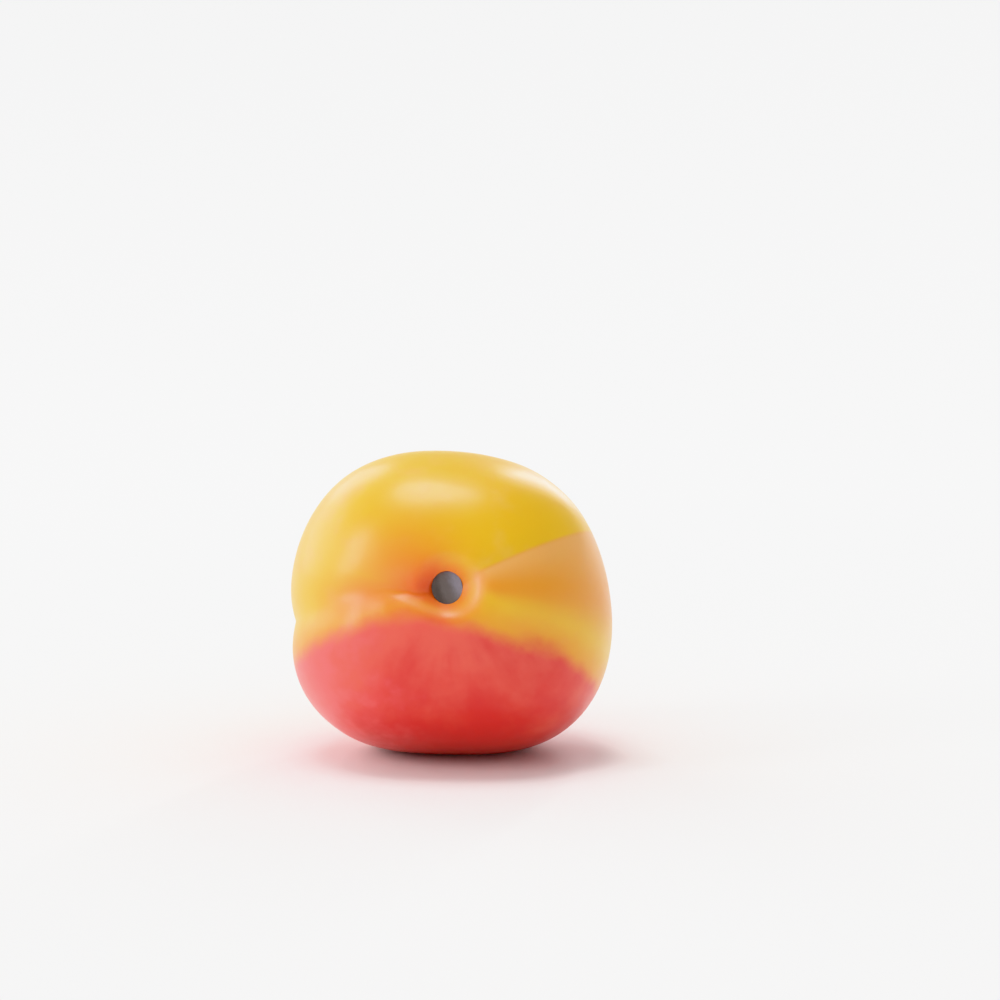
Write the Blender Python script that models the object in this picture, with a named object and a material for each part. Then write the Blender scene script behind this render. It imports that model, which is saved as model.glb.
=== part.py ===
"""A ripe apricot lying on its cheek, with the stub of its stalk still in the stem cavity.

The fruit is shaped in its own axes, with its centre at their origin:
    +Z  out of the stem end
    +X  towards the suture, the groove that runs from the stem cavity to the tip
    +Y  towards the sunny cheek
An empty then lays it down: the stem end faces -Y and a little up, and the sunny cheek is underneath.
Polar angle is measured from the stem end, and azimuth from the suture towards the sunny cheek.
"""

import math

import bmesh
import bpy
from mathutils import Matrix, Vector

MM = 0.001

# The girth, which is the outline across the middle: a mean radius and the waves round it.
# Each wave is (waves per turn, height, azimuth of a crest in degrees).
GIRTH_RADIUS = 26.05 * MM
GIRTH_WAVES = (
    (1, 0.28 * MM, 5),
    (2, 0.93 * MM, -17),
    (3, 0.56 * MM, 25),
    (4, 0.77 * MM, 37),
)

# The profile from end to end: a superellipse, a little fuller than an ellipse.
STEM_END_LENGTH = 24.0 * MM
TIP_END_LENGTH = 24.4 * MM
FULLNESS = 2.25

# The suture, at stations from the stem end to the tip. It is a tight fold where it leaves the
# stem cavity, a broad soft groove at the girth, and it closes up just before the tip.
# Each station is (polar angle in degrees, azimuth in degrees, depth, half width).
SUTURE = (
    (0, -6, 1.6 * MM, 1.4 * MM),
    (18, -8, 1.7 * MM, 1.4 * MM),
    (45, 0, 1.2 * MM, 3.4 * MM),
    (90, 0, 1.3 * MM, 4.2 * MM),
    (140, 0, 1.7 * MM, 3.4 * MM),
    (174, 0, 0.0 * MM, 2.6 * MM),
)

# A faint crease runs down the back from the stem cavity, and is lost before the girth.
BACK_CREASE = (
    (0, -161, 0.0 * MM, 1.2 * MM),
    (14, -161, 0.4 * MM, 1.2 * MM),
    (40, -161, 0.3 * MM, 1.6 * MM),
    (72, -161, 0.0 * MM, 1.6 * MM),
)

# The stem cavity, and the small dimple at the tip where the flower was.
CAVITY_DEPTH = 4.2 * MM
CAVITY_RADIUS = 3.3 * MM
TIP_DIMPLE_DEPTH = 0.7 * MM
TIP_DIMPLE_RADIUS = 2.6 * MM

# The stalk's stub is oval in section and stands in a socket in the cavity's floor.
STALK_HALF_WIDTH = 2.4 * MM
STALK_HALF_HEIGHT = 2.6 * MM
STALK_FOOT = 0.92  # sections are shares of the widest one
STALK_WAIST = 0.86
STALK_SHOULDER = 0.96
STALK_STANDS_OUT = 3.4 * MM  # above the cavity's floor
STALK_DOME = 1.5 * MM
STALK_DOME_SQUARENESS = 0.7  # 1 is a round dome, and less is a flatter one
SOCKET_DEPTH = 1.6 * MM
SOCKET_GAP = 0.3 * MM
SOCKET_CLEARING = 1.2  # how far out the skin is opened for the socket, in socket half widths

# How it lies.
STEM_END_RAISED = 14.6  # degrees above the horizontal
SUTURE_ROLL = 7.0  # degrees that the suture lies below the horizontal
FLATTENING = 0.5 * MM  # the depth of flesh that the resting spot takes off the cheek

SEGMENTS = 72
RINGS = 40
RING_CROWDING = 1.3  # above 1, the rings crowd towards the stem end
SEGMENT_CROWDING = 0.15  # above 0, the segments crowd towards the suture and the back
STALK_SEGMENTS = 32
STALK_DOME_RINGS = 7


def bump(distance, width):
    """A smooth rise from 0 to 1 and back, centred on a distance of 0."""
    return math.exp(-((distance / width) ** 2))


def girth(azimuth):
    waves = sum(
        height * math.cos(count * (azimuth - math.radians(crest)))
        for count, height, crest in GIRTH_WAVES
    )
    return GIRTH_RADIUS + waves


def at_station(stations, degrees):
    """Eases between the stations on either side of this polar angle."""
    if degrees >= stations[-1][0]:
        return stations[-1][1:]
    after = next(index for index, station in enumerate(stations) if station[0] > degrees)
    start, end = stations[after - 1], stations[after]
    share = (degrees - start[0]) / (end[0] - start[0])
    ease = share * share * (3 - 2 * share)
    return [low + (high - low) * ease for low, high in zip(start[1:], end[1:])]


def crease_depth(stations, polar, azimuth, radial):
    """How deep a crease is here: sharp along its line, with long soft sides."""
    line, depth, half_width = at_station(stations, math.degrees(polar))
    turn = azimuth - math.radians(line)
    across = radial * math.sin(turn)
    this_side = 0.5 + 0.5 * math.tanh(radial * math.cos(turn) / (2 * half_width))
    return depth * this_side / (1 + (across / half_width) ** 2)


def skin_distance(polar, azimuth):
    """How far the skin is from the fruit's centre in this direction."""
    stem_half = polar < math.pi / 2
    length = STEM_END_LENGTH if stem_half else TIP_END_LENGTH
    distance = (
        (math.sin(polar) / girth(azimuth)) ** FULLNESS
        + (abs(math.cos(polar)) / length) ** FULLNESS
    ) ** (-1 / FULLNESS)
    radial = distance * math.sin(polar)
    distance -= crease_depth(SUTURE, polar, azimuth, radial)
    distance -= crease_depth(BACK_CREASE, polar, azimuth, radial)
    if stem_half:
        return distance - CAVITY_DEPTH * bump(radial, CAVITY_RADIUS)
    return distance - TIP_DIMPLE_DEPTH * bump(radial, TIP_DIMPLE_RADIUS)


def cavity_floor():
    return STEM_END_LENGTH - CAVITY_DEPTH


def socket_edge(azimuth):
    """The point of the socket's edge at this azimuth, on the skin."""
    x = (STALK_HALF_WIDTH + SOCKET_GAP) * math.cos(azimuth)
    y = (STALK_HALF_HEIGHT + SOCKET_GAP) * math.sin(azimuth)
    radial = math.hypot(x, y)
    polar = radial / cavity_floor()
    for _ in range(6):
        polar = math.asin(radial / skin_distance(polar, azimuth))
    return Vector((x, y, radial / math.tan(polar)))


def lying_rotation():
    """Turns the fruit's own axes into the room's."""
    raised = math.radians(STEM_END_RAISED)
    roll = math.radians(SUTURE_ROLL)
    stem_way = Vector((0, -math.cos(raised), math.sin(raised)))
    right = Vector((1, 0, 0))
    up = right.cross(-stem_way)
    suture_way = -math.cos(roll) * right - math.sin(roll) * up
    sunny_way = stem_way.cross(suture_way)
    return Matrix((suture_way, sunny_way, stem_way)).transposed()


def shape_sphere(mesh):
    """Moves each point of a unit sphere out to the skin, ring by ring."""
    for point in mesh.verts:
        evenly = math.acos(max(-1, min(1, point.co.z))) / math.pi
        turn = math.atan2(point.co.y, point.co.x)
        polar = math.pi * evenly**RING_CROWDING
        azimuth = turn - SEGMENT_CROWDING * math.sin(2 * turn)
        out = Vector((math.cos(azimuth), math.sin(azimuth), 0)) * math.sin(polar)
        along = Vector((0, 0, math.cos(polar)))
        point.co = (out + along) * skin_distance(polar, azimuth)


def open_edges(extruded):
    """The edges of a fresh extrusion that have a face on one side only."""
    edges = [part for part in extruded["geom"] if isinstance(part, bmesh.types.BMEdge)]
    return [edge for edge in edges if edge.is_boundary]


def ends_of(edges):
    return {point for edge in edges for point in edge.verts}


def keep_sharp(edges):
    """Leaves a crisp edge in the smooth shading."""
    for edge in edges:
        edge.smooth = False


def sink_socket(mesh):
    """Opens the floor of the stem cavity and sinks an oval socket there for the stalk."""
    half_width = STALK_HALF_WIDTH + SOCKET_GAP
    half_height = STALK_HALF_HEIGHT + SOCKET_GAP
    over_socket = [
        point
        for point in mesh.verts
        if point.co.z > 0
        and math.hypot(point.co.x / half_width, point.co.y / half_height) < SOCKET_CLEARING
    ]
    bmesh.ops.delete(mesh, geom=over_socket, context="VERTS")
    opening = [edge for edge in mesh.edges if edge.is_boundary]
    edge_ring = open_edges(bmesh.ops.extrude_edge_only(mesh, edges=opening))
    for point in ends_of(edge_ring):
        point.co = socket_edge(math.atan2(point.co.y, point.co.x))
    bottom_ring = open_edges(bmesh.ops.extrude_edge_only(mesh, edges=edge_ring))
    for point in ends_of(bottom_ring):
        point.co.z = cavity_floor() - SOCKET_DEPTH
    bmesh.ops.holes_fill(mesh, edges=bottom_ring)
    keep_sharp(edge_ring + bottom_ring)


def flatten_cheek(mesh, rotation):
    """Cuts the small flat that the fruit rests on, level with the surface under it."""
    down = rotation.transposed() @ Vector((0, 0, -1))
    lowest = max(point.co.dot(down) for point in mesh.verts)
    cut = bmesh.ops.bisect_plane(
        mesh,
        geom=[*mesh.verts, *mesh.edges, *mesh.faces],
        plane_co=down * (lowest - FLATTENING),
        plane_no=down,
        clear_outer=True,
    )
    edges = [part for part in cut["geom_cut"] if isinstance(part, bmesh.types.BMEdge)]
    bmesh.ops.holes_fill(mesh, edges=edges)
    keep_sharp(edges)


def standing_place(mesh, rotation):
    """Where the fruit's centre goes, so that its box stands centred on the origin."""
    points = [rotation @ point.co for point in mesh.verts]
    lows = [min(point[axis] for point in points) for axis in range(3)]
    highs = [max(point[axis] for point in points) for axis in range(3)]
    return Vector((-(lows[0] + highs[0]) / 2, -(lows[1] + highs[1]) / 2, -lows[2]))


def add_object(name, mesh, material, parent):
    """Makes an object of a finished bmesh, smooth-shaded and hung on its parent."""
    data = bpy.data.meshes.new(name)
    bmesh.ops.recalc_face_normals(mesh, faces=mesh.faces)
    for face in mesh.faces:
        face.smooth = True
    mesh.to_mesh(data)
    mesh.free()
    data.materials.append(material)
    made = bpy.data.objects.new(name, data)
    bpy.context.scene.collection.objects.link(made)
    made.parent = parent
    return made


def plain_material(name, colour, roughness):
    material = bpy.data.materials.new(name)
    material.use_nodes = True
    shader = material.node_tree.nodes["Principled BSDF"]
    shader.inputs["Base Color"].default_value = (*colour, 1)
    shader.inputs["Roughness"].default_value = roughness
    shader.inputs["Metallic"].default_value = 0
    return material


def make_fruit(parent):
    """The fruit, skin and flesh in one solid. Its shape also settles where the parent stands."""
    mesh = bmesh.new()
    bmesh.ops.create_uvsphere(mesh, u_segments=SEGMENTS, v_segments=RINGS, radius=1)
    shape_sphere(mesh)
    sink_socket(mesh)
    rotation = lying_rotation()
    flatten_cheek(mesh, rotation)
    parent.rotation_euler = rotation.to_euler()
    parent.location = standing_place(mesh, rotation)
    skin = plain_material("apricot_skin", (0.86, 0.42, 0.13), 0.45)
    add_object("fruit", mesh, skin, parent)


def stalk_profile():
    """(share of the widest section, height above the foot), from the foot to the dome."""
    top = SOCKET_DEPTH - SOCKET_GAP + STALK_STANDS_OUT
    shoulder = top - STALK_DOME
    profile = [
        (STALK_FOOT, 0),
        (STALK_WAIST, shoulder / 2),
        (STALK_SHOULDER, shoulder * 0.9),
    ]
    for step in range(STALK_DOME_RINGS):
        angle = math.pi / 2 * step / STALK_DOME_RINGS
        share = math.cos(angle) ** STALK_DOME_SQUARENESS
        profile.append((share, shoulder + STALK_DOME * math.sin(angle)))
    return profile, top


def stalk_ring(mesh, share, height):
    """One oval section of the stalk, as a closed ring of edges."""
    points = []
    for step in range(STALK_SEGMENTS):
        azimuth = 2 * math.pi * step / STALK_SEGMENTS
        x = share * STALK_HALF_WIDTH * math.cos(azimuth)
        y = share * STALK_HALF_HEIGHT * math.sin(azimuth)
        points.append(mesh.verts.new((x, y, height)))
    return [mesh.edges.new((points[step - 1], points[step])) for step in range(STALK_SEGMENTS)]


def make_stalk(parent):
    """The stub of the stalk: an oval post with a waist and a domed end."""
    mesh = bmesh.new()
    profile, top = stalk_profile()
    rings = [stalk_ring(mesh, share, height) for share, height in profile]
    for lower, upper in zip(rings, rings[1:]):
        bmesh.ops.bridge_loops(mesh, edges=lower + upper)
    bmesh.ops.holes_fill(mesh, edges=rings[0])
    keep_sharp(rings[0])
    crown = mesh.verts.new((0, 0, top))
    for edge in rings[-1]:
        mesh.faces.new((*edge.verts, crown))
    wood = plain_material("stalk_wood", (0.13, 0.11, 0.1), 0.5)
    stalk = add_object("stem", mesh, wood, parent)
    stalk.location = (0, 0, cavity_floor() - SOCKET_DEPTH + SOCKET_GAP)


def clear_scene():
    for item in list(bpy.data.objects):
        bpy.data.objects.remove(item)


def main():
    clear_scene()
    lying = bpy.data.objects.new("lying_pose", None)
    bpy.context.scene.collection.objects.link(lying)
    make_fruit(lying)
    make_stalk(lying)


main()
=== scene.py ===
"""A ripe apricot lying on its cheek on a pale studio floor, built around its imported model."""

import math

import bmesh
import bpy
from mathutils import Matrix, Vector, noise


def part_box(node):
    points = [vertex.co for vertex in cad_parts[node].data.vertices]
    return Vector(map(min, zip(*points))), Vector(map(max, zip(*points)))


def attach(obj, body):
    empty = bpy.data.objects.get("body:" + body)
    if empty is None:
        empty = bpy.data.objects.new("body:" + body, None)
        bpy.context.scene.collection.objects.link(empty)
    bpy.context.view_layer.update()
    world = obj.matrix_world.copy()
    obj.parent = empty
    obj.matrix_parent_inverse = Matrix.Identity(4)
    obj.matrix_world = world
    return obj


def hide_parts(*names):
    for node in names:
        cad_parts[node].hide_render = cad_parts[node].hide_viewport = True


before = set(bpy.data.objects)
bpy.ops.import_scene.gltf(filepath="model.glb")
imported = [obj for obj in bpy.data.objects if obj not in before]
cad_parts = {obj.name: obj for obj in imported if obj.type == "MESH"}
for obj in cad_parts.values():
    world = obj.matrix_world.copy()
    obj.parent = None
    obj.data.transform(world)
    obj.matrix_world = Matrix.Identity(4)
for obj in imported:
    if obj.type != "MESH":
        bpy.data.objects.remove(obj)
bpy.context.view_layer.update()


# ---------------------------------------------------------------------------------------------
# The fruit. Skin and flesh grew as one piece: a slightly lopsided ball with a suture down one side,
# a faint crease down its back and a shallow cavity round the stalk. The skin is a soft satin: gold
# on the shady cheek, orange round the cavity, blushed red on the cheek that saw the sun.
# ---------------------------------------------------------------------------------------------

MM = 0.001

# The fruit is shaped in its own axes: +Z out of the stem end, +X to the suture, +Y to the sunny cheek.
# Each wave round the girth is (waves per turn, height, azimuth of a crest in degrees).
GIRTH_RADIUS = 26.05 * MM
GIRTH_WAVES = (
    (1, 0.28 * MM, 5),
    (2, 0.93 * MM, -17),
    (3, 0.56 * MM, 25),
    (4, 0.77 * MM, 37),
)
STEM_END_LENGTH = 24.0 * MM
TIP_END_LENGTH = 24.4 * MM
FULLNESS = 2.25
LUMP_HEIGHT = 0.10 * MM
LUMP_SPACING = 9 * MM

# Stations from the stem end to the tip: (polar angle, azimuth, depth, half width on the shady side,
# half width on the sunny side).
SUTURE = (
    (0, 10, 0.9 * MM, 2.0 * MM, 1.2 * MM),
    (10, 5, 1.1 * MM, 2.0 * MM, 1.2 * MM),
    (16, -3, 1.3 * MM, 2.4 * MM, 1.4 * MM),
    (22, -5, 1.2 * MM, 2.6 * MM, 2.0 * MM),
    (32, -4, 1.1 * MM, 3.2 * MM, 3.4 * MM),
    (52, 0, 1.1 * MM, 4.2 * MM, 4.4 * MM),
    (90, 0, 1.3 * MM, 4.2 * MM, 4.2 * MM),
    (116, 0, 1.9 * MM, 2.7 * MM, 2.7 * MM),
    (148, 0, 1.8 * MM, 2.2 * MM, 2.2 * MM),
    (165, 0, 1.3 * MM, 1.7 * MM, 1.7 * MM),
    (178, 0, 0.0 * MM, 1.2 * MM, 1.2 * MM),
)
SUTURE_SEAM = (
    (58, 0, 0.0 * MM, 0.9 * MM, 0.9 * MM),
    (88, 0, 0.30 * MM, 0.8 * MM, 0.8 * MM),
    (120, 0, 0.50 * MM, 0.7 * MM, 0.7 * MM),
    (165, 0, 0.45 * MM, 0.7 * MM, 0.7 * MM),
    (178, 0, 0.0 * MM, 0.5 * MM, 0.5 * MM),
)
BACK_CREASE_LINE = -161
BACK_CREASE = (
    (0, BACK_CREASE_LINE, 0.0 * MM, 1.2 * MM, 1.2 * MM),
    (14, BACK_CREASE_LINE, 0.4 * MM, 1.2 * MM, 1.2 * MM),
    (40, BACK_CREASE_LINE, 0.3 * MM, 1.6 * MM, 1.6 * MM),
    (72, BACK_CREASE_LINE, 0.0 * MM, 1.6 * MM, 1.6 * MM),
)

CAVITY_DEPTH = 2.0 * MM
CAVITY_RADIUS = 3.9 * MM
CAVITY_STEEPNESS = 3.0

# A low lip of flesh runs straight along the suture's sunny side and then curls round the cavity.
LIP_HEIGHT = 0.42 * MM
LIP_RADIUS = 4.6 * MM
LIP_MIDDLE = Vector((-0.4 * MM, 0, 0))
LIP_TURN = math.radians(61.6)
LIP_STEEPNESS = 0.6 * MM
LIP_FALL = 2.4 * MM
LIP_RUN_OUT = (3.5 * MM, 10.0 * MM)
LIP_CURL_END = (-3.2 * MM, -0.6 * MM)
LIP_REACH = 14 * MM

TIP_DIMPLE_DEPTH = 0.8 * MM
TIP_DIMPLE_RADIUS = 2.8 * MM
TIP_POINT_HEIGHT = 0.45 * MM
TIP_POINT_RADIUS = 0.55 * MM

# The flesh closes round the stalk's stub, just under the edge of its rounded top.
STALK_HALF_WIDTH = 2.36 * MM
STALK_HALF_HEIGHT = 2.56 * MM
STALK_FOOT = 18.5 * MM
STALK_TOP = 22.55 * MM
STALK_DOME = 0.45 * MM
STALK_SHOULDER = STALK_TOP - STALK_DOME
SOCKET_FLOOR = 18.4 * MM
SOCKET_PINCH = 0.04 * MM
SOCKET_LIP = 0.15 * MM
SOCKET_ROUNDS = 8

STEM_END_RAISED = math.radians(14.6)
SUTURE_ROLL = math.radians(7.0)
FLATTENING = 0.5 * MM
FLAT_SHOULDER = 0.35 * MM

SKIN_SEGMENTS = 320
SKIN_RINGS = 240
RING_CROWDING = 1.45
RING_EVENNESS = 0.4
SEGMENT_CROWDING = 0.15


def bump(distance, width):
    """A smooth rise from 0 to 1 and back, centred on a distance of 0."""
    return math.exp(-((distance / width) ** 2))


def eased(value, low, high):
    """Rises smoothly from 0 to 1 as the value goes from low to high."""
    share = min(max((value - low) / (high - low), 0), 1)
    return share * share * (3 - 2 * share)


def girth(azimuth):
    """The radius of the fruit's widest section at this azimuth."""
    waves = sum(
        height * math.cos(count * (azimuth - math.radians(crest)))
        for count, height, crest in GIRTH_WAVES
    )
    return GIRTH_RADIUS + waves


def at_station(stations, degrees):
    """Eases between the stations on either side of this polar angle."""
    if degrees <= stations[0][0]:
        return stations[0][1:]
    if degrees >= stations[-1][0]:
        return stations[-1][1:]
    after = next(index for index, station in enumerate(stations) if station[0] > degrees)
    start, end = stations[after - 1], stations[after]
    share = eased(degrees, start[0], end[0])
    return [low + (high - low) * share for low, high in zip(start[1:], end[1:])]


def crease_depth(stations, polar, azimuth, radial):
    """How deep a crease is here: sharp along its line, with long soft sides."""
    line, depth, shady_side, sunny_side = at_station(stations, math.degrees(polar))
    turn = azimuth - math.radians(line)
    across = radial * math.sin(turn)
    half_width = sunny_side if across > 0 else shady_side
    this_side = 0.5 + 0.5 * math.tanh(radial * math.cos(turn) / (shady_side + sunny_side))
    return depth * this_side / (1 + (across / half_width) ** 2)


def flat_way(azimuth):
    """The direction straight out from the stem's axis at this azimuth."""
    return Vector((math.cos(azimuth), math.sin(azimuth), 0))


def lip_drop(place):
    """How far the skin drops inside the lip at this place, given in the stem end's plane."""
    from_middle = place - LIP_MIDDLE
    out = from_middle.dot(flat_way(LIP_TURN))
    run = from_middle.dot(flat_way(LIP_TURN - math.pi / 2))
    past_lip = (out if run > 0 else math.hypot(out, run)) - LIP_RADIUS
    height = LIP_HEIGHT * (1 - eased(run, *LIP_RUN_OUT)) * eased(place.y, *LIP_CURL_END)
    step = 0.5 - 0.5 * math.tanh(past_lip / LIP_STEEPNESS)
    return height * step * bump(past_lip, LIP_FALL)


def outward(polar, azimuth):
    """The direction out of the fruit's centre at these angles."""
    flat = math.sin(polar)
    return Vector((flat * math.cos(azimuth), flat * math.sin(azimuth), math.cos(polar)))


def skin_distance(polar, azimuth):
    """How far the skin is from the fruit's centre in this direction."""
    stem_half = polar < math.pi / 2
    length = STEM_END_LENGTH if stem_half else TIP_END_LENGTH
    distance = (
        (math.sin(polar) / girth(azimuth)) ** FULLNESS
        + (abs(math.cos(polar)) / length) ** FULLNESS
    ) ** (-1 / FULLNESS)
    radial = distance * math.sin(polar)
    distance += LUMP_HEIGHT * noise.noise(outward(polar, azimuth) * (GIRTH_RADIUS / LUMP_SPACING))
    for crease in (SUTURE, SUTURE_SEAM, BACK_CREASE):
        distance -= crease_depth(crease, polar, azimuth, radial)
    if not stem_half:
        dimple = TIP_DIMPLE_DEPTH * bump(radial, TIP_DIMPLE_RADIUS)
        return distance - dimple + TIP_POINT_HEIGHT * bump(radial, TIP_POINT_RADIUS)
    if radial < LIP_REACH:
        distance -= lip_drop(radial * flat_way(azimuth))
    return distance - CAVITY_DEPTH * math.exp(-((radial / CAVITY_RADIUS) ** CAVITY_STEEPNESS))


def stalk_share(height):
    """The width of the stalk's stub at this height, as a share of its full width."""
    up_dome = (height - STALK_SHOULDER) / STALK_DOME
    return math.sqrt(1 - min(max(up_dome, 0), 1))


def socket_radius(azimuth, height):
    """How far the socket's wall is from the stem's axis, just inside the stalk's side."""
    share = stalk_share(height)
    x = (share * STALK_HALF_WIDTH - SOCKET_PINCH) * math.cos(azimuth)
    y = (share * STALK_HALF_HEIGHT - SOCKET_PINCH) * math.sin(azimuth)
    return math.hypot(x, y)


def socket_edge(azimuth):
    """The polar angle and height at which the skin meets the stalk."""
    height = STALK_SHOULDER
    for _ in range(SOCKET_ROUNDS):
        radial = socket_radius(azimuth, min(height, STALK_SHOULDER))
        polar = math.atan2(radial, height)
        height = skin_distance(polar, azimuth) * math.cos(polar)
    return polar, height


def lying_rotation():
    """Turns the fruit's own axes into the room's."""
    stem_way = Vector((0, -math.cos(STEM_END_RAISED), math.sin(STEM_END_RAISED)))
    right = Vector((1, 0, 0))
    up = right.cross(-stem_way)
    suture_way = -math.cos(SUTURE_ROLL) * right - math.sin(SUTURE_ROLL) * up
    sunny_way = stem_way.cross(suture_way)
    return Matrix((suture_way, sunny_way, stem_way)).transposed()


def skin_azimuths():
    """Azimuths round the stem axis, closer together where the suture and the back crease are."""
    turns = [2 * math.pi * step / SKIN_SEGMENTS for step in range(SKIN_SEGMENTS)]
    return [turn - SEGMENT_CROWDING * math.sin(2 * turn) for turn in turns]


def ring_share(index):
    """How far a ring lies from the socket to the tip: the rings crowd together at both ends."""
    share = index / SKIN_RINGS
    crowded = share**RING_CROWDING
    return RING_EVENNESS * crowded + (1 - RING_EVENNESS) * eased(share, 0, 1)


def socket_place(azimuth, height):
    return socket_radius(azimuth, height) * flat_way(azimuth) + Vector((0, 0, height))


def join_rings(mesh, lower, upper):
    for step in range(len(lower)):
        mesh.faces.new((lower[step - 1], lower[step], upper[step], upper[step - 1]))


def close_ring(mesh, ring, place):
    """Closes a ring with a fan of triangles to one middle point."""
    middle = mesh.verts.new(place)
    for step in range(len(ring)):
        mesh.faces.new((ring[step - 1], ring[step], middle))


def press_flat(mesh, up, floor_level):
    """Flattens the skin against the surface under it, with a soft shoulder all round."""
    for point in mesh.verts:
        height = point.co.dot(up) - floor_level
        if height < -FLAT_SHOULDER:
            point.co -= up * height
        elif height < FLAT_SHOULDER:
            rounded = (height + FLAT_SHOULDER) ** 2 / (4 * FLAT_SHOULDER)
            point.co += up * (rounded - height)


def new_piece(name, mesh, material):
    """Makes a smooth-shaded object of a finished bmesh."""
    bmesh.ops.recalc_face_normals(mesh, faces=mesh.faces)
    for face in mesh.faces:
        face.smooth = True
    data = bpy.data.meshes.new(name)
    mesh.to_mesh(data)
    mesh.free()
    data.materials.append(material)
    piece = bpy.data.objects.new(name, data)
    bpy.context.scene.collection.objects.link(piece)
    return piece


def grow_fruit():
    """Rings of skin from the socket's floor, up its wall and over the fruit to the tip."""
    mesh = bmesh.new()
    azimuths = skin_azimuths()
    edges = [socket_edge(azimuth) for azimuth in azimuths]
    floor = [socket_place(azimuth, SOCKET_FLOOR) for azimuth in azimuths]
    rim = [
        socket_place(azimuth, min(height, STALK_SHOULDER) - SOCKET_LIP)
        for azimuth, (_, height) in zip(azimuths, edges)
    ]
    rings = [[mesh.verts.new(place) for place in ring] for ring in (floor, rim)]
    for index in range(SKIN_RINGS):
        share = ring_share(index)
        ring = []
        for azimuth, (edge, _) in zip(azimuths, edges):
            polar = edge + (math.pi - edge) * share
            ring.append(mesh.verts.new(outward(polar, azimuth) * skin_distance(polar, azimuth)))
        rings.append(ring)
    for lower, upper in zip(rings, rings[1:]):
        join_rings(mesh, lower, upper)
    close_ring(mesh, rings[0], (0, 0, SOCKET_FLOOR))
    close_ring(mesh, rings[-1], outward(math.pi, 0) * skin_distance(math.pi, 0))
    return mesh


def lay_down(mesh):
    """Presses the resting flat, lays the fruit down in its packed box, and says how it now lies."""
    rotation = lying_rotation()
    up = rotation.transposed() @ Vector((0, 0, 1))
    lowest = min(point.co.dot(up) for point in mesh.verts)
    press_flat(mesh, up, lowest + FLATTENING)
    points = [rotation @ point.co for point in mesh.verts]
    low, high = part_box("fruit")
    place = Vector((0, 0, low.z - min(point.z for point in points)))
    for axis in (0, 1):
        across = [point[axis] for point in points]
        place[axis] = (low[axis] + high[axis] - min(across) - max(across)) / 2
    mesh.transform(Matrix.Translation(place) @ rotation.to_4x4())
    return place, rotation


def paint(red, green, blue):
    """A colour as a shader wants it, from the values of a colour chart."""
    linear = [
        part / 12.92 if part <= 0.04045 else ((part + 0.055) / 1.055) ** 2.4
        for part in (red / 255, green / 255, blue / 255)
    ]
    return (*linear, 1)


class Finish:
    """A material being wired up. Each call adds a node and returns what comes out of it."""

    def __init__(self, name):
        self.material = bpy.data.materials.new(name)
        self.material.use_nodes = True
        self.nodes = self.material.node_tree.nodes
        self.shader = self.nodes["Principled BSDF"]

    def feed(self, socket, value):
        """Links the socket to another node's output, or sets its plain value."""
        if isinstance(value, bpy.types.NodeSocket):
            self.material.node_tree.links.new(value, socket)
        else:
            socket.default_value = value

    def add(self, kind, inputs, output=0, **settings):
        """Adds a node with its settings, feeds its inputs, and returns one of its outputs."""
        node = self.nodes.new(kind)
        for name, value in settings.items():
            setattr(node, name, value)
        for name, value in inputs.items():
            self.feed(node.inputs[name], value)
        return node.outputs[output]

    def own_place(self, centre, rotation):
        """Where a point lies in a piece's own axes, in millimetres."""
        room = self.add("ShaderNodeTexCoord", {}, "Object")
        inputs = {"Vector": room, "Location": centre, "Rotation": rotation.to_euler()}
        inputs["Scale"] = (MM, MM, MM)
        return self.add("ShaderNodeMapping", inputs, vector_type="TEXTURE")

    def sum(self, operation, first, second=0.0, third=0.0):
        """One step of arithmetic with values that change over the surface."""
        values = {0: first, 1: second, 2: third}
        return self.add("ShaderNodeMath", values, operation=operation)

    def times(self, first, *others):
        for other in others:
            first = self.sum("MULTIPLY", first, other)
        return first

    def plus(self, base, extra, times=1.0):
        """The base with so many times the extra added to it."""
        return self.sum("MULTIPLY_ADD", extra, times, base)

    def vector(self, operation, first, second=(0, 0, 0), output="Vector"):
        values = {0: first, 1: second}
        return self.add("ShaderNodeVectorMath", values, output, operation=operation)

    def dot(self, vector, way):
        return self.vector("DOT_PRODUCT", vector, way, "Value")

    def length(self, vector):
        return self.vector("LENGTH", vector, output="Value")

    def ease(self, value, low, high, start=0.0, end=1.0):
        """Rises smoothly from `start` to `end` as the value goes from low to high."""
        inputs = {"Value": value, "From Min": low, "From Max": high, "To Min": start, "To Max": end}
        return self.add("ShaderNodeMapRange", inputs, interpolation_type="SMOOTHSTEP")

    def fade(self, value, low, high, start=1.0):
        """Falls smoothly from `start` to 0 as the value goes from low to high."""
        return self.ease(value, low, high, start, 0.0)

    def hump(self, value, middle, width):
        """1 where the value is at the middle, falling smoothly to 0 on both sides."""
        ratio = self.sum("DIVIDE", self.sum("SUBTRACT", value, middle), width)
        return self.sum("EXPONENT", self.times(ratio, ratio, -1.0))

    def noise(self, place, scale, detail=2.0, roughness=0.5):
        """Smooth random patches, from about -0.5 to 0.5."""
        inputs = {"Vector": place, "Scale": scale, "Detail": detail, "Roughness": roughness}
        return self.sum("SUBTRACT", self.add("ShaderNodeTexNoise", inputs), 0.5)

    def mix(self, share, under, over):
        """Lays a share of the second colour over the first."""
        node = self.nodes.new("ShaderNodeMix")
        node.data_type = "RGBA"
        factor = next(socket for socket in node.inputs if socket.enabled and socket.name == "Factor")
        first, second = [socket for socket in node.inputs if socket.type == "RGBA"]
        self.feed(factor, share)
        self.feed(first, under)
        self.feed(second, over)
        return next(socket for socket in node.outputs if socket.type == "RGBA")


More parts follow.
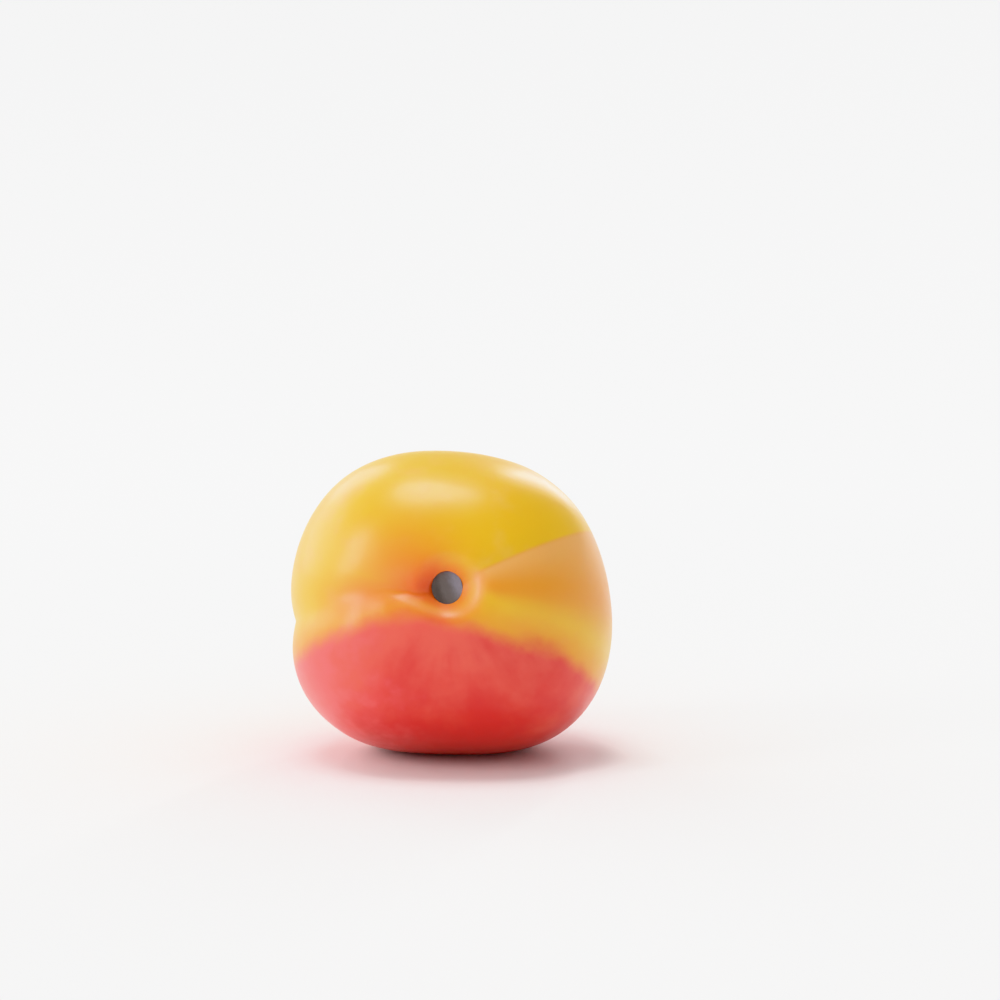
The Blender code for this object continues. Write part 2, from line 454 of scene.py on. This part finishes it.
GOLD = paint(219, 180, 26)
GOLD_BACK = paint(225, 180, 30)
# Pale gold: the skin's own paler patches, and a painted milky sheen beside the back crease.
PALE_GOLD_AND_SHEEN = paint(226, 183, 62)
# Orange of the flush towards the tip; round the cavity and along the suture it is partly painted
# shade.
WASH_ORANGE = paint(227, 140, 50)
# Deep red: partly the skin's own red, partly painted shade in the suture's furrow beside the stalk.
CAVITY_RED_AND_SHADE = paint(222, 68, 14)
CAVITY_ORANGE = paint(232, 110, 26)
# Pale peach of the lip: partly the skin's own tone, partly a painted highlight on its crest.
LIP_PEACH_AND_HIGHLIGHT = paint(238, 164, 104)
# Pale peach: partly the skin's own colour, partly a painted highlight just under the back crease.
PALE_PEACH_AND_HIGHLIGHT = paint(224, 166, 92)
PEACH_ORANGE = paint(223, 150, 48)
FRINGE_ORANGE = paint(224, 138, 42)
BLUSH_EDGE = paint(224, 90, 73)
BLUSH_DEEP = paint(211, 52, 47)
# Pale pink: a painted sheen laid over the blush beside the suture.
BLUSH_PAINTED_SHEEN = paint(231, 101, 101)
TIP_BROWN = paint(92, 58, 34)

# The colours go by lengths in millimetres in the fruit's own axes. A pair of numbers says where a
# change over the skin begins and where it is complete.
STEM_END = (0.0, 9.0)
FAR_SIDE = (2.0, -16.0)
CREASE_AZIMUTH = math.radians(BACK_CREASE_LINE)
PATCH_SCALE = 0.16
DRIFT_SCALE = 0.055
BLOTCH_SCALE = 0.36
STREAK_SCALE = 3.2
STREAK_DRAWN_OUT = 0.05
STREAKS_BEGIN = (4.0, 12.0)


class ApricotSkin(Finish):
    """The skin's material, with what its colours go by: where a point lies in the fruit, how far it
    belongs to the stem end and to the far side, and random patches of four kinds."""

    def __init__(self, centre, rotation):
        super().__init__("apricot_skin")
        self.place = self.own_place(centre, rotation)
        self.to_suture = self.dot(self.place, (1, 0, 0))
        self.to_cheek = self.dot(self.place, (0, 1, 0))
        self.to_stem = self.dot(self.place, (0, 0, 1))
        self.from_axis = self.vector("MULTIPLY", self.place, (1, 1, 0))
        self.radial = self.length(self.from_axis)
        self.out_crease = self.dot(self.place, flat_way(CREASE_AZIMUTH))
        self.across_crease = self.dot(self.place, flat_way(CREASE_AZIMUTH - math.pi / 2))
        self.stem_end = self.ease(self.to_stem, *STEM_END)
        self.far_side = self.ease(self.to_stem, *FAR_SIDE)
        self.patch = self.noise(self.place, PATCH_SCALE, detail=3.0)
        self.drift = self.noise(self.place, DRIFT_SCALE)
        self.blotch = self.noise(self.place, BLOTCH_SCALE)
        self.streak = self.streaks_from_stem()

    def streaks_from_stem(self):
        """Streaks that run away from the stem like the lines of a map from its pole."""
        round_stem = self.vector("NORMALIZE", self.from_axis)
        drawn_out = self.vector("MULTIPLY", self.place, (0, 0, STREAK_DRAWN_OUT))
        streak = self.noise(self.vector("ADD", round_stem, drawn_out), STREAK_SCALE, detail=3.0)
        return self.times(streak, self.ease(self.radial, *STREAKS_BEGIN))


GOLD_WARMS = (2.0, -12.0)
# Where the painted milky sheen lies beside the back crease; the patches are the skin's own paler tone.
PAINTED_SHEEN_OUT_CREASE = (2.0, 8.0)
PAINTED_SHEEN_ACROSS_CREASE = (-1.0, 5.0)
PAINTED_SHEEN_BESIDE_CREASE = 0.6
LIGHT_PATCHES = (0.0, 0.25)
FLUSHED_DRIFTS = (-0.12, 0.22)
FLUSH_RAGGEDNESS = 0.5
FLUSH_STRENGTH = 0.7


def golden_ground(skin):
    """Gold, warmer away from the suture, lighter in its own random patches, with a painted milky sheen
    on the sunny side of the back crease, and flushed orange towards the tip."""
    gold = skin.mix(skin.ease(skin.to_suture, *GOLD_WARMS), GOLD, GOLD_BACK)
    # Painted milky sheen on the sunny side of the back crease, laid on together with the skin's own
    # paler patches.
    beside = skin.ease(skin.across_crease, *PAINTED_SHEEN_ACROSS_CREASE)
    beside = skin.times(beside, skin.ease(skin.out_crease, *PAINTED_SHEEN_OUT_CREASE), PAINTED_SHEEN_BESIDE_CREASE)
    lighter = skin.sum("MAXIMUM", beside, skin.ease(skin.patch, *LIGHT_PATCHES))
    colour = skin.mix(lighter, gold, PALE_GOLD_AND_SHEEN)
    drifts = skin.plus(skin.drift, skin.patch, FLUSH_RAGGEDNESS)
    flush = skin.times(skin.ease(drifts, *FLUSHED_DRIFTS), skin.far_side, FLUSH_STRENGTH)
    return skin.mix(flush, colour, WASH_ORANGE)


WASH_MIDDLE = (5.5, -2.5, 22.0)
WASH_SPREAD = 8.0
WASH_SETS_OUT = (0.0, 5.0)
WASH_FADES = (12.0, 23.0)
WASH_LINE = -0.2
WASH_HALF_WIDTH = 4.0


def orange_wash(skin, ground):
    """The orange round the cavity, more on the suture's side, which runs out along the suture: partly
    the skin's own colour and partly painted shade where the skin slopes into the cavity and the
    groove.
    """
    # Partly painted shade: deeper orange where the skin slopes into the cavity and along the groove.
    from_middle = skin.vector("SUBTRACT", skin.place, WASH_MIDDLE)
    pool = skin.hump(skin.length(from_middle), 0.0, WASH_SPREAD)
    along = skin.ease(skin.to_suture, *WASH_SETS_OUT)
    along = skin.times(along, skin.fade(skin.to_suture, *WASH_FADES), skin.stem_end)
    along = skin.times(along, skin.hump(skin.to_cheek, WASH_LINE, WASH_HALF_WIDTH))
    return skin.mix(skin.sum("MAXIMUM", pool, along), ground, WASH_ORANGE)


# The slopes say how far a point lies across the crease for its distance out along it.
WEDGE_BEGINS = (3.0, 6.5)
WEDGE_EDGE = (-0.4, 0.6)
WEDGE_BLURS = (10.0, -6.0)
WEDGE_BLUR = 10.0
WEDGE_FADES_IN = (-11.0, 5.0)
WEDGE_RAGGEDNESS = 22.0
WEDGE_ROOT = 0.5
PALE_PEACH_HIGHLIGHT_SLOPES = (0.02, 0.48)
PEACH_ORANGE_SLOPES = (0.50, 0.98)


def peach_wedge(skin, ground):
    """The back crease parts the gold from a wedge of peach, which warms to orange. The palest peach,
    just under the crease, is partly a painted highlight of the top light on the crease's lower wall.
    Past the fruit's girth the wedge blurs and fades away unevenly."""
    blur = skin.ease(skin.to_stem, *WEDGE_BLURS, start=1.0, end=WEDGE_BLUR)
    wedge = skin.ease(skin.sum("DIVIDE", skin.across_crease, blur), *WEDGE_EDGE)
    ragged = skin.plus(skin.to_stem, skin.patch, WEDGE_RAGGEDNESS)
    wedge = skin.times(wedge, skin.ease(ragged, *WEDGE_FADES_IN))
    wedge = skin.times(wedge, skin.ease(skin.out_crease, *WEDGE_BEGINS))
    out = skin.sum("MAXIMUM", skin.out_crease, WEDGE_ROOT)
    slope = skin.sum("DIVIDE", skin.across_crease, out)
    band = skin.times(wedge, skin.fade(slope, *PEACH_ORANGE_SLOPES))
    # The pale peach next to the crease is partly painted highlight, where the crease's lower wall
    # faces the top light.
    pale = skin.times(wedge, skin.fade(slope, *PALE_PEACH_HIGHLIGHT_SLOPES))
    return skin.mix(pale, skin.mix(band, ground, PEACH_ORANGE), PALE_PEACH_AND_HIGHLIGHT)


GLOW_TO_SUTURE = 2.0
GLOW_TO_CHEEK = -2.2
GLOW_HALF_LENGTH = 2.8
GLOW_HALF_WIDTH = 2.2
GLOW_STRENGTH = 0.95
STALK_RING_RADIUS = 2.2
STALK_RING_HALF_WIDTH = 1.5
STALK_RING_STRENGTH = 0.8
RED_BEGINS = (-2.0, 1.6)
RED_FULL_TO = 2.4
RED_RUNS_OUT = 4.8
RED_HALF_WIDTH = 2.3
RED_ENDS_BEFORE_LIP = (-1.6, -0.3)
LIP_HALF_WIDTH = 1.05
LIP_PALE_AND_HIGHLIGHT_SHARE = 0.6


def in_millimetres(lengths):
    return [length / MM for length in lengths]


def cavity_colours(skin, ground):
    """Deep red where the suture runs into the cavity, partly the skin's own red and partly painted
    shade of the suture's furrow; orange rings the stalk; the lip is pale peach, partly a painted
    highlight.
    """
    from_middle = skin.vector("SUBTRACT", skin.place, LIP_MIDDLE / MM)
    out = skin.dot(from_middle, flat_way(LIP_TURN))
    run = skin.dot(from_middle, flat_way(LIP_TURN - math.pi / 2))
    curl = skin.sum("MINIMUM", run, 0.0)
    to_lip = skin.sum("SQRT", skin.plus(skin.times(out, out), curl, curl))
    past_lip = skin.sum("SUBTRACT", to_lip, LIP_RADIUS / MM)
    lip_end = skin.fade(run, *in_millimetres(LIP_RUN_OUT))
    lip_end = skin.times(lip_end, skin.ease(skin.to_cheek, *in_millimetres(LIP_CURL_END)))

    glow = skin.hump(skin.to_suture, GLOW_TO_SUTURE, GLOW_HALF_LENGTH)
    glow = skin.times(glow, skin.hump(skin.to_cheek, GLOW_TO_CHEEK, GLOW_HALF_WIDTH), GLOW_STRENGTH)
    ring = skin.hump(skin.radial, STALK_RING_RADIUS, STALK_RING_HALF_WIDTH)
    ring = skin.sum("MAXIMUM", skin.times(ring, STALK_RING_STRENGTH), glow)
    colour = skin.mix(skin.times(ring, skin.stem_end), ground, CAVITY_ORANGE)

    # Deep red where the suture runs into the cavity: partly the skin's own red, partly painted shade
    # of the suture's furrow.
    pool = skin.hump(skin.sum("MAXIMUM", skin.to_suture, RED_FULL_TO), RED_FULL_TO, RED_RUNS_OUT)
    pool = skin.times(pool, skin.hump(skin.sum("MINIMUM", skin.to_cheek, 0.0), 0.0, RED_HALF_WIDTH))
    pool = skin.times(pool, skin.ease(skin.to_suture, *RED_BEGINS), skin.stem_end)
    pool = skin.times(pool, skin.fade(past_lip, *RED_ENDS_BEFORE_LIP))
    colour = skin.mix(pool, colour, CAVITY_RED_AND_SHADE)
    # The pale peach along the lip is partly the skin's own tone, partly a painted highlight on its
    # crest.
    lip = skin.times(skin.hump(past_lip, 0.0, LIP_HALF_WIDTH), lip_end, skin.stem_end, LIP_PALE_AND_HIGHLIGHT_SHARE)
    return skin.mix(lip, colour, LIP_PEACH_AND_HIGHLIGHT)


# The blush's edge lies so far towards the sun. It curves away on both sides, wanders, draws back at
# the back end and comes forward beside the suture.
SUNNY_AZIMUTH = math.radians(79)
BLUSH_STARTS = 5.4
BLUSH_CURVE = 0.0095
BLUSH_WANDER = 1.0
BLUSH_WANDER_TURN = 0.209
BLUSH_BACK_END = (-12.0, -25.0)
BLUSH_DRAWN_BACK = 2.0
BLUSH_BY_SUTURE = 20.5
BLUSH_BY_SUTURE_WIDTH = 3.5
BLUSH_FORWARD = 0.8
BLUSH_PATCHES = 1.6
BLUSH_BLOTCHES = 1.2
BLUSH_STREAKS = 2.2
BLUSH_SPREAD_FAR = 5.0
BLUSH_DRIFTS_FAR = 26.0
BLUSH_SOFTER_FAR = 2.2
SEAM_BEGINS = (2.0, 10.0)
SEAM_HALF_WIDTH = 2.4
SEAM_CLEARING = 6.0


def inside_blush(skin):
    """How far inside the blush's broken edge a point lies. Beyond the fruit's girth the blush
    spreads and softens, but leaves the suture's seam golden."""
    sun = skin.dot(skin.place, flat_way(SUNNY_AZIMUTH))
    side = skin.dot(skin.place, flat_way(SUNNY_AZIMUTH + math.pi / 2))
    edge = skin.plus(BLUSH_STARTS, skin.times(side, side), BLUSH_CURVE)
    wander = skin.sum("SINE", skin.times(skin.to_suture, -BLUSH_WANDER_TURN))
    edge = skin.plus(edge, wander, BLUSH_WANDER)
    edge = skin.plus(edge, skin.ease(skin.to_suture, *BLUSH_BACK_END), BLUSH_DRAWN_BACK)
    by_suture = skin.hump(skin.to_suture, BLUSH_BY_SUTURE, BLUSH_BY_SUTURE_WIDTH)
    edge = skin.plus(edge, by_suture, -BLUSH_FORWARD)

    inside = skin.sum("SUBTRACT", sun, edge)
    inside = skin.plus(inside, skin.patch, BLUSH_PATCHES)
    inside = skin.plus(inside, skin.blotch, BLUSH_BLOTCHES)
    inside = skin.plus(inside, skin.streak, BLUSH_STREAKS)
    spread = skin.plus(BLUSH_SPREAD_FAR, skin.drift, BLUSH_DRIFTS_FAR)
    inside = skin.plus(inside, skin.far_side, spread)
    inside = skin.sum("DIVIDE", inside, skin.plus(1.0, skin.far_side, BLUSH_SOFTER_FAR))
    seam = skin.hump(skin.to_cheek, 0.0, SEAM_HALF_WIDTH)
    seam = skin.times(seam, skin.ease(skin.to_suture, *SEAM_BEGINS), skin.far_side)
    return skin.plus(inside, seam, -SEAM_CLEARING)


AWAY_FROM_SUTURE = (2.0, -10.0)
RED_SLOWER_AWAY = 0.55
RED_DEEPER_AWAY = 8.0
RED_DEEPER_FAR = 6.0
RED_STREAKS = 20.0
RED_PATCHES = 7.0
RED_BLOTCHES = 8.0
RED_DEEPENS = (0.0, 18.0)
# Where the pale pink painted sheen lies over the blush, beside the suture.
PAINTED_SHEEN_TO_SUTURE = (8.5, 25.0)
PAINTED_SHEEN_FLECKS = 18.0
PAINTED_SHEEN_STRENGTH = 0.9
PAINTED_SHEEN_STRENGTH_FAR = 0.2
PAINTED_SHEEN_WEAKENS = (0.0, 0.6)


def blush_red(skin, inside):
    """The blush deepens inwards and in streaks and patches; beside the suture it carries a pale pink
    painted sheen.
    """
    away = skin.ease(skin.to_suture, *AWAY_FROM_SUTURE)
    depth = skin.times(inside, skin.plus(1.0, away, RED_SLOWER_AWAY - 1.0))
    depth = skin.plus(depth, away, RED_DEEPER_AWAY)
    depth = skin.plus(depth, skin.far_side, RED_DEEPER_FAR)
    depth = skin.plus(depth, skin.streak, RED_STREAKS)
    depth = skin.plus(depth, skin.patch, RED_PATCHES)
    depth = skin.plus(depth, skin.blotch, RED_BLOTCHES)
    red = skin.mix(skin.ease(depth, *RED_DEEPENS), BLUSH_EDGE, BLUSH_DEEP)
    # Pale pink flecks beside the suture are a painted sheen over the red.
    flecked = skin.plus(skin.to_suture, skin.plus(skin.patch, skin.blotch), PAINTED_SHEEN_FLECKS)
    strength = skin.ease(skin.far_side, *PAINTED_SHEEN_WEAKENS, start=PAINTED_SHEEN_STRENGTH, end=PAINTED_SHEEN_STRENGTH_FAR)
    return skin.mix(skin.times(skin.ease(flecked, *PAINTED_SHEEN_TO_SUTURE), strength), red, BLUSH_PAINTED_SHEEN)


FRINGE = (-6.5, 0.5)
FRINGE_STRENGTH = 0.8
BLUSH_SOFT_EDGE = (-1.8, 1.8)


def blush(skin, ground):
    """The red that the sun gave the cheek, with an orange fringe."""
    inside = inside_blush(skin)
    colour = skin.mix(skin.ease(inside, *FRINGE, end=FRINGE_STRENGTH), ground, FRINGE_ORANGE)
    return skin.mix(skin.ease(inside, *BLUSH_SOFT_EDGE), colour, blush_red(skin, inside))


TIP_FLUSH = (2.0, 11.0)
TIP_FLUSH_STRENGTH = 0.75
TIP_RAGGEDNESS = 9.0
TIP_SCAR = (0.5, 1.3)


def tip_colours(skin, ground):
    """A flush of orange round the tip, and the brown dot where the flower's style dried off."""
    reach = skin.plus(skin.radial, skin.patch, -TIP_RAGGEDNESS)
    flush = skin.times(skin.fade(reach, *TIP_FLUSH, start=TIP_FLUSH_STRENGTH), skin.far_side)
    colour = skin.mix(flush, ground, WASH_ORANGE)
    return skin.mix(skin.times(skin.fade(skin.radial, *TIP_SCAR), skin.far_side), colour, TIP_BROWN)


def apricot_skin(centre, rotation):
    """Colours laid one over another on a fine-pored satin skin with a faint down."""
    skin = ApricotSkin(centre, rotation)
    colour = golden_ground(skin)
    for layer in (orange_wash, peach_wedge, cavity_colours, blush, tip_colours):
        colour = layer(skin, colour)
    shader = skin.shader.inputs
    skin.feed(shader["Base Color"], colour)
    mottle = skin.noise(skin.place, scale=0.5, detail=3.0, roughness=0.55)
    skin.feed(shader["Roughness"], skin.ease(mottle, -0.3, 0.3, start=0.34, end=0.40))
    shader["Specular IOR Level"].default_value = 0.6
    shader["Coat Weight"].default_value = 0.15
    shader["Coat Roughness"].default_value = 0.2
    shader["Subsurface Weight"].default_value = 0.2
    shader["Subsurface Radius"].default_value = (1.0, 0.4, 0.15)
    shader["Subsurface Scale"].default_value = 3 * MM
    shader["Sheen Weight"].default_value = 0.06
    shader["Sheen Roughness"].default_value = 0.5
    shader["Sheen Tint"].default_value = paint(255, 244, 226)
    pores = skin.noise(skin.place, scale=3.0, roughness=0.6)
    dimples = skin.noise(skin.place, scale=0.9)
    bumps = {"Height": skin.plus(pores, dimples, 2.0), "Strength": 0.04, "Distance": 0.05 * MM}
    skin.feed(shader["Normal"], skin.add("ShaderNodeBump", bumps))
    return skin.material


fruit_mesh = grow_fruit()
fruit_place, fruit_rotation = lay_down(fruit_mesh)
fruit = new_piece("apricot_fruit", fruit_mesh, apricot_skin(fruit_place, fruit_rotation))
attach(fruit, "root")
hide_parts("fruit")


# ---------------------------------------------------------------------------------------------
# The stalk's stub. A short dry piece of the twig, smooth and grey-brown, that broke off level with
# the lip of the stem cavity. Its foot grows out of the flesh at the bottom of the socket.
# ---------------------------------------------------------------------------------------------

STALK_SEGMENTS = 96
STALK_SIDE_RINGS = 8
STALK_DOME_RINGS = 30
STALK_RIDGE = 0.02 * MM
STALK_RIDGE_CROWDING = 5
STALK_RIDGE_LENGTH = 3 * MM

# Painted light on the stub: brown for its shaded side, grey between, and pale bluish as a painted
# reflection on the other side.
STALK_SHADED_BROWN = paint(74, 64, 59)
STALK_GREY = paint(104, 95, 92)
STALK_PAINTED_REFLECTION = paint(144, 139, 150)
STALK_GRAIN_STRETCH = (1, 0.25, 0.25)
# The side that gets the pale painted reflection; mottle and grain break up the change from painted
# shade to it.
PAINTED_LIGHT_SIDE = (-0.55, -0.15, 0)
MOTTLE_IN_PAINTED_LIGHT = 0.6
GRAIN_IN_PAINTED_LIGHT = 0.5
SHADE_TO_GREY = (-1.1, 0.0)
GREY_TO_REFLECTION = (0.0, 1.2)


def stalk_ring(height):
    """One oval section of the stalk, faintly ridged along its length."""
    share = stalk_share(height)
    ring = []
    for step in range(STALK_SEGMENTS):
        azimuth = 2 * math.pi * step / STALK_SEGMENTS
        grain = STALK_RIDGE_CROWDING * flat_way(azimuth)
        grain.z = height / STALK_RIDGE_LENGTH
        ridge = STALK_RIDGE * (noise.noise(grain) - 0.5) * share
        x = (share * STALK_HALF_WIDTH + ridge) * math.cos(azimuth)
        y = (share * STALK_HALF_HEIGHT + ridge) * math.sin(azimuth)
        ring.append(Vector((x, y, height)))
    return ring


def grow_stalk():
    """An oval peg with a rounded top: its rings crowd together towards the middle of the dome."""
    mesh = bmesh.new()
    side = STALK_SHOULDER - STALK_FOOT
    heights = [STALK_FOOT + side * step / STALK_SIDE_RINGS for step in range(STALK_SIDE_RINGS)]
    for step in range(STALK_DOME_RINGS):
        share = step / STALK_DOME_RINGS
        heights.append(STALK_SHOULDER + STALK_DOME * share * (2 - share))
    rings = [[mesh.verts.new(place) for place in stalk_ring(height)] for height in heights]
    for lower, upper in zip(rings, rings[1:]):
        join_rings(mesh, lower, upper)
    close_ring(mesh, rings[0], (0, 0, STALK_FOOT))
    close_ring(mesh, rings[-1], (0, 0, STALK_TOP))
    return mesh


def dry_stalk(centre, rotation):
    """Grey-brown bark with random mottle and grain, painted darker brown as shade on one side and
    pale bluish as a painted reflection on the other.
    """
    wood = Finish("dry_stalk")
    place = wood.own_place(centre, rotation)
    mottle = wood.noise(place, scale=0.9, detail=4.0, roughness=0.6)
    drawn_out = wood.vector("MULTIPLY", place, STALK_GRAIN_STRETCH)
    grain = wood.noise(drawn_out, scale=2.6, detail=3.0, roughness=0.6)
    # Painted shade and painted reflection across the stub, broken up by its own mottle and grain.
    painted_light_and_mottle = wood.plus(wood.dot(place, PAINTED_LIGHT_SIDE), mottle, MOTTLE_IN_PAINTED_LIGHT)
    painted_light_and_mottle = wood.plus(painted_light_and_mottle, grain, GRAIN_IN_PAINTED_LIGHT)
    colour = wood.mix(wood.ease(painted_light_and_mottle, *SHADE_TO_GREY), STALK_SHADED_BROWN, STALK_GREY)
    colour = wood.mix(wood.ease(painted_light_and_mottle, *GREY_TO_REFLECTION), colour, STALK_PAINTED_REFLECTION)
    shader = wood.shader.inputs
    wood.feed(shader["Base Color"], colour)
    wood.feed(shader["Roughness"], wood.ease(mottle, -0.3, 0.3, start=0.34, end=0.48))
    pits = wood.noise(place, scale=5.0, detail=3.0, roughness=0.6)
    bumps = {"Height": wood.plus(pits, grain, 2.0), "Strength": 0.12, "Distance": 0.04 * MM}
    wood.feed(shader["Normal"], wood.add("ShaderNodeBump", bumps))
    return wood.material


stalk_mesh = grow_stalk()
stalk_mesh.transform(Matrix.Translation(fruit_place) @ fruit_rotation.to_4x4())
stalk = new_piece("stalk_stub", stalk_mesh, dry_stalk(fruit_place, fruit_rotation))
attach(stalk, "root")
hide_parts("stem")


# ---------------------------------------------------------------------------------------------
# The studio's paper. A round sheet of matt white paper lies under the fruit, and its edge bends
# gently up all round, so that floor and backdrop are one. The softboxes shine past its rim.
# ---------------------------------------------------------------------------------------------

COVE_FLAT = 0.6
COVE_BEND = 2.0
COVE_RISE = math.radians(42)
COVE_FLAT_RINGS = 4
COVE_BEND_RINGS = 24
COVE_SEGMENTS = 96
PAPER_WHITE = paint(240, 240, 240)


def roll_out_paper():
    """A flat round floor whose edge bends gently up, the same from every side."""
    mesh = bmesh.new()
    line = [(COVE_FLAT * step / COVE_FLAT_RINGS, 0.0) for step in range(1, COVE_FLAT_RINGS)]
    for step in range(COVE_BEND_RINGS + 1):
        angle = COVE_RISE * step / COVE_BEND_RINGS
        line.append((COVE_FLAT + COVE_BEND * math.sin(angle), COVE_BEND * (1 - math.cos(angle))))
    rings = []
    for out, height in line:
        turns = [2 * math.pi * step / COVE_SEGMENTS for step in range(COVE_SEGMENTS)]
        places = [(out * math.cos(turn), out * math.sin(turn), height) for turn in turns]
        rings.append([mesh.verts.new(place) for place in places])
    for lower, upper in zip(rings, rings[1:]):
        join_rings(mesh, lower, upper)
    close_ring(mesh, rings[0], (0, 0, 0))
    return mesh


def matt_paper():
    paper = Finish("matt_paper")
    shader = paper.shader.inputs
    shader["Base Color"].default_value = PAPER_WHITE
    shader["Roughness"].default_value = 0.9
    shader["Specular IOR Level"].default_value = 0.1
    return paper.material


cove = new_piece("paper_cove", roll_out_paper(), matt_paper())
cove.visible_shadow = False


# ---------------------------------------------------------------------------------------------
# The studio's light. A wide softbox overhead, tall ones at the front left and back left, a broad
# screen on the left and a narrow strip behind on the right, in a white room.
# ---------------------------------------------------------------------------------------------

ROOM_GLOW = 0.48
LIGHT_DISTANCE = 4.2


def softbox(name, azimuth, elevation, width, height, brightness):
    """A soft area light aimed at the fruit. Azimuth 0 is at the camera's side, 90 to its right.
    The width and height are in degrees, as the fruit sees them."""
    turn, rise = math.radians(azimuth), math.radians(elevation)
    way = Vector((math.sin(turn) * math.cos(rise), -math.cos(turn) * math.cos(rise), math.sin(rise)))
    light = bpy.data.lights.new(name, "AREA")
    light.shape = "ELLIPSE"
    light.size = 2 * LIGHT_DISTANCE * math.tan(math.radians(width / 2))
    light.size_y = 2 * LIGHT_DISTANCE * math.tan(math.radians(height / 2))
    light.energy = brightness * LIGHT_DISTANCE**2
    light.cycles.use_multiple_importance_sampling = False
    lamp = bpy.data.objects.new(name, light)
    lamp.location = fruit_place + way * LIGHT_DISTANCE
    lamp.rotation_euler = (-way).to_track_quat("-Z", "Y").to_euler()
    lamp.visible_camera = False
    bpy.context.scene.collection.objects.link(lamp)


softbox("overhead_softbox", azimuth=-97, elevation=83, width=25, height=30, brightness=5.4)
softbox("front_left_strip", azimuth=-68, elevation=24, width=17, height=33, brightness=3.5)
softbox("left_screen", azimuth=-118, elevation=21, width=52, height=36, brightness=3.6)
softbox("back_left_strip", azimuth=-150, elevation=31, width=20, height=28, brightness=2.2)
softbox("back_right_strip", azimuth=160, elevation=27, width=3, height=36, brightness=3.2)

room = bpy.data.worlds.new("white_room")
bpy.context.scene.world = room
room.use_nodes = True
glow = room.node_tree.nodes["Background"].inputs
glow["Color"].default_value = (1, 1, 1, 1)
glow["Strength"].default_value = ROOM_GLOW
bpy.context.scene.view_settings.view_transform = "Khronos PBR Neutral"


# ---------------------------------------------------------------------------------------------
# The camera. It stands close in front of the stem end, a little to the right and a little above it,
# and looks slightly down over the fruit to the paper behind.
# ---------------------------------------------------------------------------------------------

CAMERA_FROM_FRUIT = Vector((8.0 * MM, -313.2 * MM, 41.3 * MM))
CAMERA_TILT = math.radians(4.4)
FOCAL_LENGTH = 70
SENSOR_WIDTH = 36
NEAREST_SEEN = 10 * MM

lens = bpy.data.cameras.new("camera")
lens.lens = FOCAL_LENGTH
lens.sensor_width = SENSOR_WIDTH
lens.clip_start = NEAREST_SEEN
camera = bpy.data.objects.new("camera", lens)
camera.location = fruit_place + CAMERA_FROM_FRUIT
camera.rotation_euler = (math.pi / 2 - CAMERA_TILT, 0, 0)
bpy.context.scene.collection.objects.link(camera)
bpy.context.scene.camera = camera
